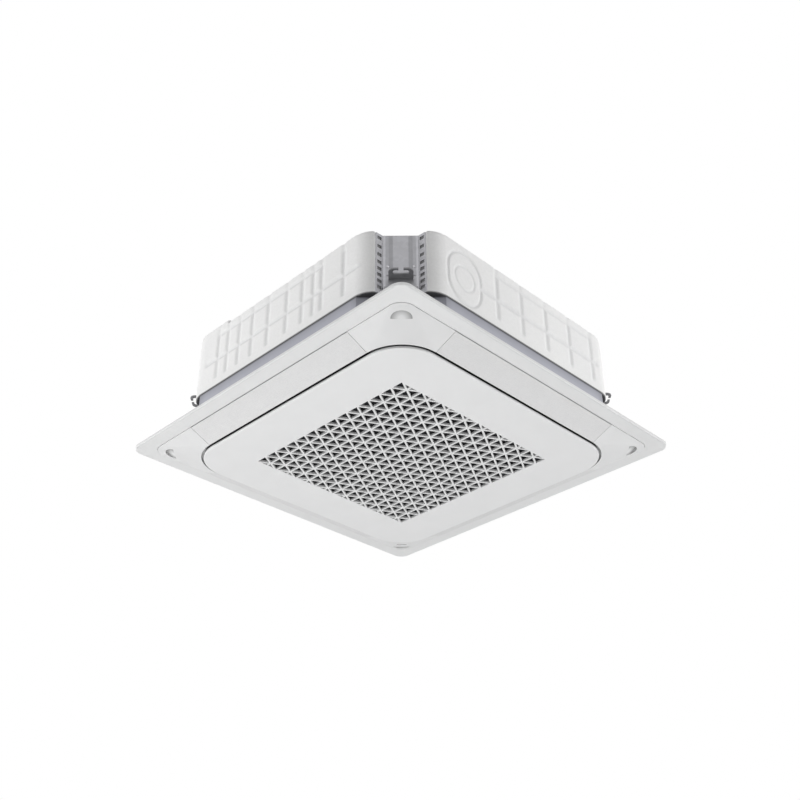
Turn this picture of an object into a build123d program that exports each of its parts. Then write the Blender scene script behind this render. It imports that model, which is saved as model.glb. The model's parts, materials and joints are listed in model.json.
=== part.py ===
from build123d import *
import os
from math import atan2, cos, pi, radians, sin, sqrt

# Ceiling cassette air conditioner, in millimetres.
# +Z is up. The origin is the centre of the ceiling cut-out, in the plane of the ceiling:
# the panel's rim rests against the ceiling at z = 0, the grille hangs below it and the
# body stands above it. The four sides are named by compass, with north along +Y.

# ---------------------------------------------------------------- driving dimensions
PANEL_SIDE = 950.0
PANEL_CORNER = 28.0
RIM_WIDTH = 37.0
RIM_THICK = 8.0
FACE_Z = -40.0              # underside of the intake grille
GRILLE_SIDE = 746.0
GRILLE_CORNER = 97.0
GRILLE_GAP = 6.5            # dark gap between the grille and the blades
SEAM = 1.2                  # seam round blades and corner covers
COVER_WALL = 3.2
GRILLE_PLATE = 2.5          # the grille's edge is a plain plate
PLASTIC = 2.5
BLADE_HALF = 275.4
BLADE_END = 276.0           # where a blade ends and a corner cover begins

LATTICE_HALF = 253.0        # half of the square field of triangles
LATTICE_COLUMNS = 16
LATTICE_RIB = 4.3
LATTICE_DEPTH = 5.5

BODY_SIDE = 840.0
BODY_TOP = 266.0
BODY_BOTTOM = 20.0
CASING_BOTTOM = 90.0
CASING_WALL = 20.0
CORNER_DISTANCE = 510.0     # centre to the flat of the casing's cut-off corners
CORNER_ROUND = 60.0
BASE_INSET = 2.0
BASE_WALL = 8.0
NOTCH_DISTANCE = 494.0      # centre to the back of a corner notch
PLATE_TOP = 258.0           # upper edge of the corner plates
PLATE_SLOTS = (246, 222, 199, 178, 160, 143, 126, 109)
NOTCH_BACK = 39.5           # half width of the notch at its back
NOTCH_FRONT = 57.0          # half width of the notch at its mouth
LOBE_RISE = 10.0            # the casing's north-west corner stands this much higher

BOLT_DISTANCE = 523.3       # centre to a hanger bolt, so 740 mm from bolt to bolt
BRACKET_Z = 134.0
BRACKET_HALF = 27.0
BRACKET_REACH = 535.0
STEEL = 3.0
SHEET = 2.0

FAN_RADIUS = 230.0
FAN_BLADES = 7
SHROUD_MOUTH = 172.0
SHAFT_RADIUS = 6.0
COIL_INSIDE = 262.0
COIL_DEPTH = 42.0
COIL_BOTTOM = 50.0
COIL_TOP = 248.0
COIL_END = 200.0            # where the coil stops beside the north-east corner

FLOOR_TOP = -0.5            # the floor inside the rim stays just clear of the ceiling
SCREW_PLACE = (376.0, -294.0)
DENT_DISTANCE = 562.0       # centre to the straight side of a cover's finger dent
DENT_RADIUS = 23.0
DENT_DEPTH = 7.0
RECEIVER_DISTANCE = 530.0
PIVOT = (396.0, -16.0)      # blade axis: distance from the centre, and height
PIN_RADIUS = 2.5
BORE_RADIUS = 2.55
HINGE = (362.0, -35.0)      # grille hinge axis on the north side
HINGE_PIN = 2.0
HINGE_BORE = 2.05
HINGE_PLACES = (-150.0, 150.0)
LATCH_PLACES = (-200.0, 200.0)

GAS_RADIUS = 7.94
LIQUID_RADIUS = 4.76
GAS_PORT = (240.0, 190.0)   # y and z of the gas pipe where it leaves the east face
LIQUID_PORT = (275.0, 130.0)
DRAIN_PORT = (255.0, 195.0)  # x and z of the drain outlet in the north face
DRAIN_RADIUS = 16.0
CABLE_PORT = (185.0, 130.0)
PORT_REACH = 470.0
CLEAR = 0.3

# ---------------------------------------------------------------- worked out from these
RING_OUT = PANEL_SIDE / 2 - RIM_WIDTH
RING_EDGE = RING_OUT - SEAM
RING_IN = GRILLE_SIDE / 2 + GRILLE_GAP
RING_IN_CORNER = GRILLE_CORNER + GRILLE_GAP
RING_OUT_CORNER = 34.0
RING_OUT_Z = -9.5
RING_IN_Z = -35.0
RING_SLOPE = (RING_OUT_Z - RING_IN_Z) / (RING_EDGE - RING_IN)
WALL_OUT = 369.5            # the panel's inner wall stands inside the blades' swing
WALL_IN = WALL_OUT - PLASTIC - 0.5
WALL_BOTTOM = -27.0
SHORT_WALL = 312.0          # half width of the wall's shorter part beside the hinge
CORNER_CENTRE = GRILLE_SIDE / 2 - GRILLE_CORNER  # all the corner arcs share this centre
GROOVES = {                 # places of the casing's upright grooves across each side
    "east": (-240, -166, -99, -43, 25, 85, 136),
    "north": (-240, -160, -71, 20, 108),
    "west": (-219, -181, -136, -85, -25, 43, 99, 137, 166, 240),
    "south": (-108, -20, 71, 162, 250),
}
LEVEL_GROOVES = {"east": (-262, 136), "north": (-262, 108), "west": (-262, 292), "south": (-166, 270)}
SIDES = {"east": 0, "north": 90, "west": 180, "south": 270}
CORNERS = {"north_east": 0, "north_west": 90, "south_west": 180, "south_east": 270}


# ---------------------------------------------------------------- small helpers
def block(x, y, z):
    """A box between two corners, given as (low, high) along each axis."""
    size = (x[1] - x[0], y[1] - y[0], z[1] - z[0])
    middle = ((x[0] + x[1]) / 2, (y[0] + y[1]) / 2, (z[0] + z[1]) / 2)
    return Pos(*middle) * Box(*size)


def rod(radius, start, end):
    """A round bar from one point to another."""
    way = Vector(*end) - Vector(*start)
    plane = Plane(origin=start, z_dir=way)
    return extrude(plane * Circle(radius), way.length)


def tube(outer, inner, start, end):
    return rod(outer, start, end) - rod(inner, start, end)


def slab(face, low, high):
    """A flat outline in XY raised between two heights."""
    return extrude(Pos(0, 0, low) * face, high - low)


def square(half, corner):
    return RectangleRounded(2 * half, 2 * half, corner)


def ring(half_out, corner_out, half_in, corner_in, low, high):
    return slab(square(half_out, corner_out) - square(half_in, corner_in), low, high)


def arc_ring(half_out, half_in, low, high):
    """A square ring whose corner arcs all turn about the grille's own corner centres."""
    return ring(half_out, half_out - CORNER_CENTRE, half_in, half_in - CORNER_CENTRE, low, high)


def body_outline(inset):
    """The body's plan: a square whose corners are cut off and rounded, moved inwards."""
    half = BODY_SIDE / 2 - inset
    cut = (CORNER_DISTANCE - inset) * sqrt(2) - half
    points = []
    for turn in range(4):
        a, b = cos(turn * pi / 2), sin(turn * pi / 2)
        points.append((half * a - cut * b, half * b + cut * a))
        points.append((cut * a - half * b, cut * b + half * a))
    face = make_face(Polyline(points, close=True))
    return fillet(face.vertices(), CORNER_ROUND - inset)


def base_outline(inset):
    """The steel base's plan, whose corners stop behind the corner plates."""
    reach = 2 * (NOTCH_DISTANCE - (inset - BASE_INSET))
    keep = Rot(0, 0, 45) * Rectangle(reach, reach)
    return body_outline(inset) & keep


def profile(points, low, high):
    """A cross-section through the east side, drawn as (x, z), run along Y."""
    plane = Plane(origin=(0, low, 0), x_dir=(1, 0, 0), z_dir=(0, 1, 0))
    outline = [(x, -z) for x, z in points]
    return extrude(plane * make_face(Polyline(outline, close=True)), high - low)


def diagonal(shape):
    """Moves a shape drawn along +X to the north-east corner."""
    return Rot(0, 0, 45) * shape


def place(angle, shape):
    return Rot(0, 0, angle) * shape


def revolve_profile(points):
    """A round body from points given as (radius, height)."""
    face = make_face(Polyline(points, close=True))
    return revolve(Plane.XZ * face, Axis.Z)


def group(shapes):
    return Compound(children=[Solid(s.solid().wrapped) for s in shapes])


# ---------------------------------------------------------------- the panel
def rim():
    plate = slab(square(PANEL_SIDE / 2, PANEL_CORNER), -RIM_THICK, 0)
    lower_edges = plate.edges().group_by(Axis.Z)[0]
    plate = fillet(lower_edges, 3)
    return plate - slab(square(RING_OUT, RING_OUT_CORNER), -RIM_THICK - 1, 1)


def air_duct():
    """The slanted nozzle that leads the air from the body's outlet to one blade."""
    end = BLADE_END - 6
    outer = profile([(434, FLOOR_TOP), (430.3, FLOOR_TOP), (401, 20), (405, 20)], -end, end)
    side = [(WALL_OUT - 1, FLOOR_TOP), (431, FLOOR_TOP), (403, 20),
            (WALL_OUT, 20), (WALL_OUT, 18), (WALL_OUT - 1, 18)]
    ends = [profile(side, s * end - 1.5, s * end + 1.5) for s in (-1, 1)]
    return outer + ends[0] + ends[1]


def bearing(side):
    """A hanger at one end of a blade. The idle end, side -1, has a pin and the other a bore."""
    x, z = PIVOT
    start = side * (BLADE_END + 1.2)
    end = side * (BLADE_END + 7)
    arm = block((x - 4.6, x + 4.6), sorted((start, end)), (z, -2))
    boss = rod(4.6, (x, start, z), (x, end, z))
    if side < 0:
        return arm + boss + rod(PIN_RADIUS, (x, end, z), (x, -BLADE_HALF + 7.5, z))
    return arm + boss - rod(BORE_RADIUS, (x, start - 1, z), (x, end + 1, z))


def motor_window():
    x = PIVOT[0]
    return block((x - 15.5, x + 15.5), (BLADE_END + 7, BLADE_END + 28), (-4, 1))


def screw_boss():
    x, y = SCREW_PLACE
    return rod(6, (x, y, -3), (x, y, BODY_BOTTOM))


def screw_hole():
    x, y = SCREW_PLACE
    return rod(2.5, (x, y, -4), (x, y, BODY_BOTTOM + 1))


def corner_shelf():
    """The flange behind the gap between a corner cover and the grille."""
    inside = WALL_OUT + 2 * CLEAR
    shelf = arc_ring(384, inside, -22, -19.5) + arc_ring(inside + PLASTIC, inside, -20, -2.5)
    edge = BLADE_END + 1
    return shelf & block((edge, 400), (edge, 400), (-23, 0))


def panel_frame():
    """The rim, the floor inside it with its openings, and what holds blades and covers."""
    inside = WALL_OUT + CLEAR
    floor = ring(RING_OUT + 1, RING_OUT_CORNER, inside, inside - CORNER_CENTRE, -3, FLOOR_TOP)
    frame = rim() + floor
    slot = block((WALL_OUT - 1, 430), (-BLADE_END + 7.5, BLADE_END - 7.5), (-4, 1))
    access = diagonal(block((500, 580), (-28, 28), (-4, 1)))
    clips = block((411.8, 417.8), (338, 352), (-4, 1)) + block((338, 352), (411.8, 417.8), (-4, 1))
    for angle in SIDES.values():
        frame += place(angle, bearing(-1) + bearing(1) + screw_boss() + corner_shelf())
        frame -= place(angle, slot + motor_window() + access + clips)
        frame -= place(angle, screw_hole())
    return frame


def air_guide():
    """The inner wall and the four ducts, which stand on the panel's floor.

    The wall is cut short beside the hinge, where the grille's edge swings up behind it."""
    guide = arc_ring(WALL_OUT, WALL_IN, WALL_BOTTOM, 18)
    guide -= block((-SHORT_WALL, SHORT_WALL), (CORNER_CENTRE, WALL_OUT + 1), (WALL_BOTTOM - 1, -22))
    for angle in SIDES.values():
        guide += place(angle, air_duct())
    for x in HINGE_PLACES:
        guide += hinge_lug(x)
    for x in LATCH_PLACES:
        guide -= block((x - 13, x + 13), (-WALL_OUT - 1, -WALL_IN + 1), (-16, -9))
    return guide


def hinge_lug(x):
    y, z = HINGE
    arm = block((x - 3, x + 3), (y - 2.5, y + 1.5), (z, -19.5))
    foot = block((x - 3, x + 3), (y - 2.5, WALL_IN + 1), (-22, -19.5))
    end = rod(2.4, (x - 3, y, z), (x + 3, y, z))
    pin = rod(HINGE_PIN, (x - 9, y, z), (x + 9, y, z))
    return arm + foot + end + pin


def panel_gasket():
    return arc_ring(WALL_OUT, WALL_IN, 18, 20)


# ---------------------------------------------------------------- blades and covers
def slope_z(x):
    """Height of the sloping underside at a distance x from the centre."""
    return RING_IN_Z + (x - RING_IN) * RING_SLOPE


def blade(driven):
    """An air outlet blade: a slanted plate with ribs, ears and a blind bore at each end."""
    low, high = RING_IN + 0.4, RING_EDGE
    tilt = atan2(RING_OUT_Z - RING_IN_Z, RING_EDGE - RING_IN)
    up = (-sin(tilt), cos(tilt))

    def at(x, lift):
        return (x + lift * up[0], slope_z(x) + lift * up[1])

    outline = [at(low, 0), at(high, 0), at(high, 1.2), at(high - 2.5, 3), at(low + 1.5, 3), at(low, 1.5)]
    plate = profile(outline, -BLADE_HALF, BLADE_HALF)
    for x in (low + 6, high - 12):
        rib = [at(x, 2.9), at(x + 1.8, 2.9), at(x + 1.6, 7), at(x + 0.2, 7)]
        plate += profile(rib, -BLADE_HALF + 12, BLADE_HALF - 12)
    x, z = PIVOT
    for side in (-1, 1):
        y = sorted((side * (BLADE_HALF - 4), side * BLADE_HALF))
        ear = [at(low + 3, 2.9), at(low + 34, 2.9), (x + 5, z), (x - 5, z)]
        boss = rod(5, (x, y[0], z), (x, y[1], z))
        plate += profile(ear, *y) + boss
        plate += rod(5, (x, side * (BLADE_HALF - 9), z), (x, side * BLADE_HALF, z))
        plate -= rod(BORE_RADIUS, (x, side * (BLADE_HALF - 8), z), (x, side * (BLADE_HALF + 1), z))
    return place(SIDES[driven], plate)


def blade_motor(side):
    """A small geared motor whose shaft stands 8 mm off the middle of its can."""
    x, z = PIVOT
    face = BLADE_END + 7
    can = rod(14, (x, face + 1, z + 8), (x, face + 19, z + 8))
    ears = block((x - 19, x + 19), (face, face + 1), (z + 4, z + 12))
    plate = rod(13, (x, face, z + 8), (x, face + 1, z + 8))
    socket = block((x - 7, x + 7), (face + 4, face + 15), (z + 17, z + 25))
    shaft = rod(PIN_RADIUS - 0.03, (x, BLADE_HALF - 7.5, z), (x, face + 1, z))
    return place(SIDES[side], can + ears + plate + socket + shaft)


def sloping_ring():
    outer = [
        Pos(0, 0, -6.5) * square(RING_EDGE, RING_OUT_CORNER - SEAM),
        Pos(0, 0, RING_OUT_Z) * square(RING_EDGE, RING_OUT_CORNER - SEAM),
        Pos(0, 0, RING_IN_Z) * square(RING_IN, RING_IN_CORNER),
    ]
    lip = RING_EDGE - PLASTIC
    inside = RING_IN - 3.5
    inner = [
        Pos(0, 0, 0) * square(lip, RING_OUT_CORNER - SEAM - PLASTIC),
        Pos(0, 0, slope_z(lip) + COVER_WALL) * square(lip, RING_OUT_CORNER - SEAM - PLASTIC),
        Pos(0, 0, slope_z(inside) + COVER_WALL) * square(inside, RING_IN_CORNER - 3.5),
    ]
    solid = loft(outer, ruled=True) - loft(inner, ruled=True)
    return solid - slab(square(RING_IN, RING_IN_CORNER), FACE_Z - 5, 1)


def corner_slope_z(distance):
    """Height of a corner cover's underside along its diagonal."""
    start = CORNER_CENTRE * sqrt(2) + RING_IN_CORNER
    end = (RING_OUT - RING_OUT_CORNER) * sqrt(2) + RING_OUT_CORNER - SEAM
    return RING_IN_Z + (distance - start) * (RING_OUT_Z - RING_IN_Z) / (end - start)


def dent_form(radius, deepest, below):
    """A half disc standing on its chord, whose top slants up towards the round side."""
    chord = DENT_DISTANCE
    start, end = chord - (radius - DENT_RADIUS), chord + radius
    low = corner_slope_z(chord)
    slant = (corner_slope_z(chord + DENT_RADIUS) + deepest - low) / DENT_RADIUS
    top = [(end, low + slant * (end - chord)), (start, low + slant * (start - chord))]
    wedge = profile([(start, low - below), (end, low - below)] + top, -radius, radius)
    disc = rod(radius, (chord, 0, low - below - 1), (chord, 0, 0))
    return wedge & disc


def finger_dent():
    """A half-moon scoop, deepest at its outer arc, that lets the cover be pulled down."""
    return diagonal(dent_form(DENT_RADIUS, DENT_DEPTH, 12))


def corner_cover(corner, shell):
    edge = BLADE_END + 0.6
    cover = shell & block((edge, 445), (edge, 445), (-50, 5))
    dent_wall = Pos(0, 0, 2.4) * dent_form(DENT_RADIUS + 2.4, DENT_DEPTH, 12)
    cover += diagonal(dent_wall) & sloping_block()
    cover -= finger_dent()
    for x, y in ((414.5, 345), (345, 414.5)):
        wide = (5, 2) if x < y else (2, 5)
        foot = slope_z(max(x, y)) + 1
        cover += block((x - wide[0], x + wide[0]), (y - wide[1], y + wide[1]), (foot, -1.2))
    return place(CORNERS[corner], cover)


def sloping_block():
    """The space above the sloping underside, used to trim what stands on a cover."""
    sections = [
        Pos(0, 0, -6.5) * square(RING_EDGE, RING_OUT_CORNER - SEAM),
        Pos(0, 0, RING_OUT_Z) * square(RING_EDGE, RING_OUT_CORNER - SEAM),
        Pos(0, 0, RING_IN_Z) * square(RING_IN, RING_IN_CORNER),
    ]
    return loft(sections, ruled=True)


# ---------------------------------------------------------------- the intake grille
def lattice_holes():
    """Triangles of the intake lattice, each shrunk to leave a rib on every side."""
    height = 2 * LATTICE_HALF / LATTICE_COLUMNS
    pitch = height * 2 / sqrt(3)
    rows = int(2 * LATTICE_HALF / pitch) + 3
    inset = LATTICE_RIB / 2
    limit = LATTICE_HALF - inset
    holes = []
    for column in range(LATTICE_COLUMNS):
        left = -LATTICE_HALF + column * height
        offset = pitch / 2 if column % 2 == 0 else 0.0
        for row in range(-rows, rows):
            for flip in (False, True):
                y = row * pitch + offset + (pitch / 2 if flip else 0)
                corners = triangle(left, y, height, flip, inset)
                if all(abs(py) <= limit for _, py in corners):
                    holes.append(corners)
                elif clipped_area(corners, limit) > 0.12 * triangle_area(corners):
                    holes.append(clip(corners, limit))
    return holes


def triangle(left, y, height, flip, inset):
    """Corners of one hole. Its flat side is on the left, or on the right when flipped."""
    flat, tip = (left + height, left) if flip else (left, left + height)
    way = 1 if tip > flat else -1
    near = flat + way * inset
    far = tip - way * 2 * inset
    half = (far - near) * way / sqrt(3)
    return [(near, y - half), (far, y), (near, y + half)]


def triangle_area(corners):
    total = 0.0
    for (ax, ay), (bx, by) in zip(corners, corners[1:] + corners[:1]):
        total += ax * by - bx * ay
    return abs(total) / 2


def clip(corners, limit):
    """Cuts a polygon at y = limit and y = -limit."""
    for sign in (1, -1):
        kept = []
        for (ax, ay), (bx, by) in zip(corners, corners[1:] + corners[:1]):
            if sign * ay <= limit:
                kept.append((ax, ay))
            if (sign * ay <= limit) != (sign * by <= limit):
                part = (sign * limit - ay) / (by - ay)
                kept.append((ax + part * (bx - ax), sign * limit))
        corners = kept
    return corners


def clipped_area(corners, limit):
    kept = clip(corners, limit)
    return triangle_area(kept) if len(kept) > 2 else 0.0


def lattice():
    edge = LATTICE_HALF + 6
    outline = Wire.make_polygon([(-edge, -edge), (edge, -edge), (edge, edge), (-edge, edge)], close=True)
    holes = [Wire.make_polygon(corners, close=True) for corners in lattice_holes()]
    face = Face(outline, holes)
    return extrude(Pos(0, 0, FACE_Z) * face, LATTICE_DEPTH)


def intake_grille():
    """The hanging panel: a flat plate with a stiffening wall, the lattice, ears and guides."""
    half = GRILLE_SIDE / 2
    plate_top = FACE_Z + GRILLE_PLATE
    pan = slab(square(half, GRILLE_CORNER), FACE_Z, plate_top)
    pan = fillet(pan.edges().group_by(Axis.Z)[0], 1.8)
    pan += arc_ring(332.5, 330, plate_top - 0.5, FACE_Z + 12)
    edge = LATTICE_HALF + 6
    pan -= block((-edge, edge), (-edge, edge), (FACE_Z - 1, FACE_Z + 5))
    grille = pan + lattice()
    y, z = HINGE
    for x in HINGE_PLACES:
        for side in (-1, 1):
            width = sorted((x + side * 3.6, x + side * 8.5))
            ear = block(width, (y - 4.2, y + 4.2), (FACE_Z + 2, z))
            ear += rod(4.2, (width[0], y, z), (width[1], y, z))
            grille += ear
        grille -= rod(HINGE_BORE, (x - 9.5, y, z), (x + 9.5, y, z))
    for x in LATCH_PLACES:
        for side in (-1, 1):
            guide = sorted((x + side * 16.3, x + side * 19))
            grille += block(guide, (-362, -338), (FACE_Z + 2, FACE_Z + 9))
    return grille


def grille_latch(x):
    """A sliding catch whose nose stops just short of the window in the panel's wall."""
    low = FACE_Z + GRILLE_PLATE
    body = block((x - 16, x + 16), (-360, -340), (low, low + 5))
    post = block((x - 12, x + 12), (-361.5, -357), (low, -10))
    nose = block((x - 10, x + 10), (-366, -358), (-14, -11))
    grip = block((x - 6, x + 6), (-346, -343), (low + 4, low + 9))
    return body + post + nose + grip


def filter_frame():
    half, bar, low = 258.0, 8.0, FACE_Z + LATTICE_DEPTH
    frame = slab(Rectangle(2 * half, 2 * half) - Rectangle(2 * half - 16, 2 * half - 16), low, low + 9)
    step = 2 * (half - bar) / 6
    for line in range(1, 6):
        middle = -half + bar + line * step
        frame += block((middle - 1.5, middle + 1.5), (-half + 4, half - 4), (low + 5.2, low + 9))
        frame += block((-half + 4, half - 4), (middle - 1.5, middle + 1.5), (low + 5.2, low + 9))
    return frame


def filter_mesh():
    half, low = 249.8, FACE_Z + LATTICE_DEPTH
    return slab(Rectangle(2 * half, 2 * half), low + 4.2, low + 5.2)


# ---------------------------------------------------------------- the body's shell
def base_frame():
    outer = slab(base_outline(BASE_INSET), BODY_BOTTOM, CASING_BOTTOM)
    inner = slab(base_outline(BASE_INSET + BASE_WALL), BODY_BOTTOM - 1, CASING_BOTTOM + 1)
    return outer - inner


def notch_outline(offset, mouth):
    """The plan of a corner recess, widened on its two slanting walls by an offset."""
    slope = (NOTCH_FRONT - NOTCH_BACK) / (CORNER_DISTANCE - NOTCH_DISTANCE)
    back = NOTCH_BACK + offset * sqrt(1 + slope * slope)
    wide = back + slope * (mouth - NOTCH_DISTANCE)
    points = [(NOTCH_DISTANCE, -back), (mouth, -wide), (mouth, wide), (NOTCH_DISTANCE, back)]
    return make_face(Polyline(points, close=True))


def notch():
    """The tapered recess in one corner of the casing, open right across at the top."""
    recess = slab(notch_outline(0, CORNER_DISTANCE + 30), CASING_BOTTOM - 1, BODY_TOP + 1)
    gap = block((470, 545), (-NOTCH_FRONT, NOTCH_FRONT), (PLATE_TOP - 2, BODY_TOP + LOBE_RISE + 1))
    return diagonal(recess + gap)


def groove_section(middle):
    """The section of a V-shaped groove 3 mm deep, as (distance from the centre, across)."""
    bottom, mouth = BODY_SIDE / 2 - 3, BODY_SIDE / 2 + 1
    return [(bottom, middle - 1.5), (mouth, middle - 6.5), (mouth, middle + 6.5), (bottom, middle + 1.5)]


def groove(side, across, heights):
    """An upright V-shaped groove in one face of the casing, at a place across that face."""
    return place(SIDES[side], slab(make_face(Polyline(groove_section(across), close=True)), *heights))


def level_groove(side, span, height):
    return place(SIDES[side], profile(groove_section(height), *span))


def knock_out(side, across, height):
    """The outline of a break-out panel for a fresh air duct: an oval and a round groove."""
    half = BODY_SIDE / 2
    face = Plane(origin=(half - 3, across, height), x_dir=(0, 1, 0), z_dir=(1, 0, 0))

    def cone(wide, high, grow):
        bottom = face * RectangleRounded(wide, high, wide / 2 - 0.1)
        wide, high = wide + 2 * grow, high + 2 * grow
        top = face.offset(4) * RectangleRounded(wide, high, wide / 2 - 0.1)
        return loft([bottom, top], ruled=True)

    cut = cone(110, 143, 4.5) - cone(105, 138, -4.5)
    cut += cone(67, 67, 4.5) - cone(62, 62, -4.5)
    return place(SIDES[side], cut)


def casing_block(top):
    outside = slab(body_outline(0), CASING_BOTTOM, top)
    return fillet(outside.edges().group_by(Axis.Z)[-1], 9)


def casing():
    shell = casing_block(BODY_TOP)
    lobe = block((-450, -188), (188, 450), (CASING_BOTTOM - 1, BODY_TOP + LOBE_RISE + 1))
    shell += casing_block(BODY_TOP + LOBE_RISE) & lobe
    shell -= slab(body_outline(CASING_WALL), CASING_BOTTOM - 1, BODY_TOP + LOBE_RISE + 1)
    shell -= slab(body_outline(CASING_WALL - 6), BODY_TOP - 5, BODY_TOP + LOBE_RISE + 1)
    for angle in CORNERS.values():
        shell -= place(angle, notch())
    low, high, level = 121.0, 240.0, 171.0
    for side, places in GROOVES.items():
        for across in places:
            shell -= groove(side, across, (low, high))
    for side, span in LEVEL_GROOVES.items():
        shell -= level_groove(side, span, level)
    shell -= knock_out("south", -219, level)
    y, z = GAS_PORT
    shell -= rod(GAS_RADIUS + 6, (CASING_INNER, y, z), (BODY_SIDE / 2 + 1, y, z))
    y, z = LIQUID_PORT
    shell -= rod(LIQUID_RADIUS + 6, (CASING_INNER, y, z), (BODY_SIDE / 2 + 1, y, z))
    x, z = DRAIN_PORT
    shell -= rod(DRAIN_RADIUS, (x, CASING_INNER, z), (x, BODY_SIDE / 2 + 1, z))
    x, z = CABLE_PORT
    return shell - rod(13, (x, CASING_INNER, z), (x, BODY_SIDE / 2 + 1, z))


CASING_INNER = BODY_SIDE / 2 - CASING_WALL - 1


def top_plate():
    low = BODY_TOP - 5
    short = Rot(0, 0, 45) * Rectangle(980, 980)
    plate = slab(body_outline(CASING_WALL - 5.7) & short, low, low + 1.5)
    plate += tube(152, 140, (0, 0, low + 1), (0, 0, low + 4))
    plate += ring(335, 40, 325, 30, low + 1, low + 4)
    for angle in (45, 135, 225, 315):
        plate += place(angle, block((170, 420), (-7, 7), (low + 1, low + 4)))
    return plate


def corner_plate(corner):
    """A steel channel that lines a corner notch: beaded back, slotted slanting flanges."""
    back = NOTCH_DISTANCE
    front = CORNER_DISTANCE - 1
    lining = slab(notch_outline(0, front), CASING_BOTTOM + 2, PLATE_TOP)
    hollow = notch_outline(-SHEET, front + 1) & Pos(back + SHEET + 25, 0) * Rectangle(50, 150)
    lining -= slab(hollow, CASING_BOTTOM + 1, PLATE_TOP + 1)
    wide = (-NOTCH_BACK + 1, NOTCH_BACK - 1)
    plate = lining + block((back, back + SHEET), wide, (BODY_BOTTOM, PLATE_TOP))
    for height in PLATE_SLOTS:
        for side in (-1, 1):
            wide = sorted((side * 42.5, side * 51.5))
            plate -= block((back + 0.5, front + 5), wide, (height - 4.5, height + 4.5))
    depth, heights = (back + SHEET, back + SHEET + 1.4), (BRACKET_Z + 12, PLATE_TOP - 6)
    for across, half in ((-29, 3), (0, 17), (29, 3)):
        plate += block(depth, (across - half, across + half), heights)
    return place(CORNERS[corner], diagonal(plate))


def hanger_bracket(corner):
    """A folded steel bracket with an open slot that slips round the hanger bolt."""
    root = NOTCH_DISTANCE + SHEET
    arm_face = make_face(Polyline(
        [(root, -BRACKET_HALF), (BRACKET_REACH, -BRACKET_HALF),
         (BRACKET_REACH, BRACKET_HALF), (root, BRACKET_HALF)], close=True))
    tips = arm_face.vertices().group_by(Axis.X)[-1]
    arm_face = fillet(tips, 12)
    slot = Pos(BOLT_DISTANCE, 0) * SlotOverall(36, 12, rotation=90)
    mouth = Pos(BRACKET_REACH - 5, 0) * Rectangle(26, 11)
    arm = slab(arm_face - slot - mouth, BRACKET_Z, BRACKET_Z + STEEL)
    web = block((root, root + STEEL), (-BRACKET_HALF, BRACKET_HALF), (96, BRACKET_Z + STEEL))
    foot = block((root, root + STEEL), (-NOTCH_BACK + 2.5, NOTCH_BACK - 2.5), (94, 114))
    return place(CORNERS[corner], diagonal(arm + web + foot))


def bracket_screws():
    face = NOTCH_DISTANCE + SHEET + STEEL
    screws = []
    for angle in CORNERS.values():
        for across in (-32, 32):
            head = rod(5, (face, across, 102), (face + 3.5, across, 102))
            screws.append(place(angle, diagonal(head)))
    return group(screws)


def panel_screws():
    screws = []
    for angle in SIDES.values():
        x, y = SCREW_PLACE
        head = rod(5, (x, y, -6.5), (x, y, -3))
        shank = rod(2.5, (x, y, -3.5), (x, y, 45))
        screws.append(place(angle, head + shank))
    return group(screws)


# ---------------------------------------------------------------- inside the body
def drain_pan():
    top = 72.0
    pan = slab(base_outline(BASE_INSET + BASE_WALL), BODY_BOTTOM, top)
    pan -= rod(222, (0, 0, BODY_BOTTOM - 1), (0, 0, top + 1))
    pan -= ring(312, 60, 255, 30, COIL_BOTTOM, top + 1)
    pan -= block((225, 320), (215, 350), (COIL_BOTTOM, top + 1))
    for angle in SIDES.values():
        pan -= place(angle, block((374, 400), (-268, 268), (BODY_BOTTOM - 1, top + 1)))
        x, y = SCREW_PLACE
        pan -= place(angle, rod(2.5, (x, y, BODY_BOTTOM - 1), (x, y, 45)))
    return pan


def bell_mouth():
    plate = slab(Rectangle(600, 600) - Circle(214), 17, BODY_BOTTOM)
    wall = []
    for step in range(7):
        turn = radians(90 * step / 6)
        wall.append((215 - 50 * sin(turn), 17 + 48 * (1 - cos(turn))))
    outer = [(r + 2.5, z + 1.5) for r, z in reversed(wall)]
    mouth = revolve_profile(wall + [(165, 70), (167.5, 70)] + outer)
    return plate + mouth


def fan_impeller():
    """A backward-curved centrifugal wheel: hub, blades and inlet shroud in one."""
    hub = revolve_profile([
        (SHAFT_RADIUS, 108), (14, 108), (15, 122), (62, 126), (84, 142), (112, 214), (FAN_RADIUS, 214),
        (FAN_RADIUS, 217), (109, 217), (81, 145), (60, 129), (15, 126), (14, 140), (SHAFT_RADIUS, 140)])
    shroud = revolve_profile([
        (SHROUD_MOUTH, 62), (SHROUD_MOUTH + 2.5, 62), (SHROUD_MOUTH + 6, 74), (198, 88),
        (FAN_RADIUS, 98), (FAN_RADIUS, 101), (196, 91), (SHROUD_MOUTH + 2, 76), (SHROUD_MOUTH, 66)])
    envelope = revolve_profile([(118, 200), (176, 76), (197, 89.5), (FAN_RADIUS - 2, 99),
                                (FAN_RADIUS - 2, 215), (112.5, 215)])
    outline = [(112, 0), (150, -34), (190, -48), (232, -46)]
    back = [(232, -49.5), (190, -51.5), (149, -38), (109, -3)]
    path = Spline(*outline) + Line(outline[-1], back[0]) + Spline(*back) + Line(back[-1], outline[0])
    vane = extrude(Pos(0, 0, 70) * make_face(path), 150) & envelope
    wheel = hub + shroud
    for number in range(FAN_BLADES):
        wheel += place(360 * number / FAN_BLADES, vane)
    return wheel


def motor_shaft():
    return rod(SHAFT_RADIUS, (0, 0, 96), (0, 0, 200))


def hub_nut():
    flats = extrude(Pos(0, 0, 98) * RegularPolygon(10, 6), 10)
    return flats - rod(SHAFT_RADIUS, (0, 0, 97), (0, 0, 109))


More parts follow.
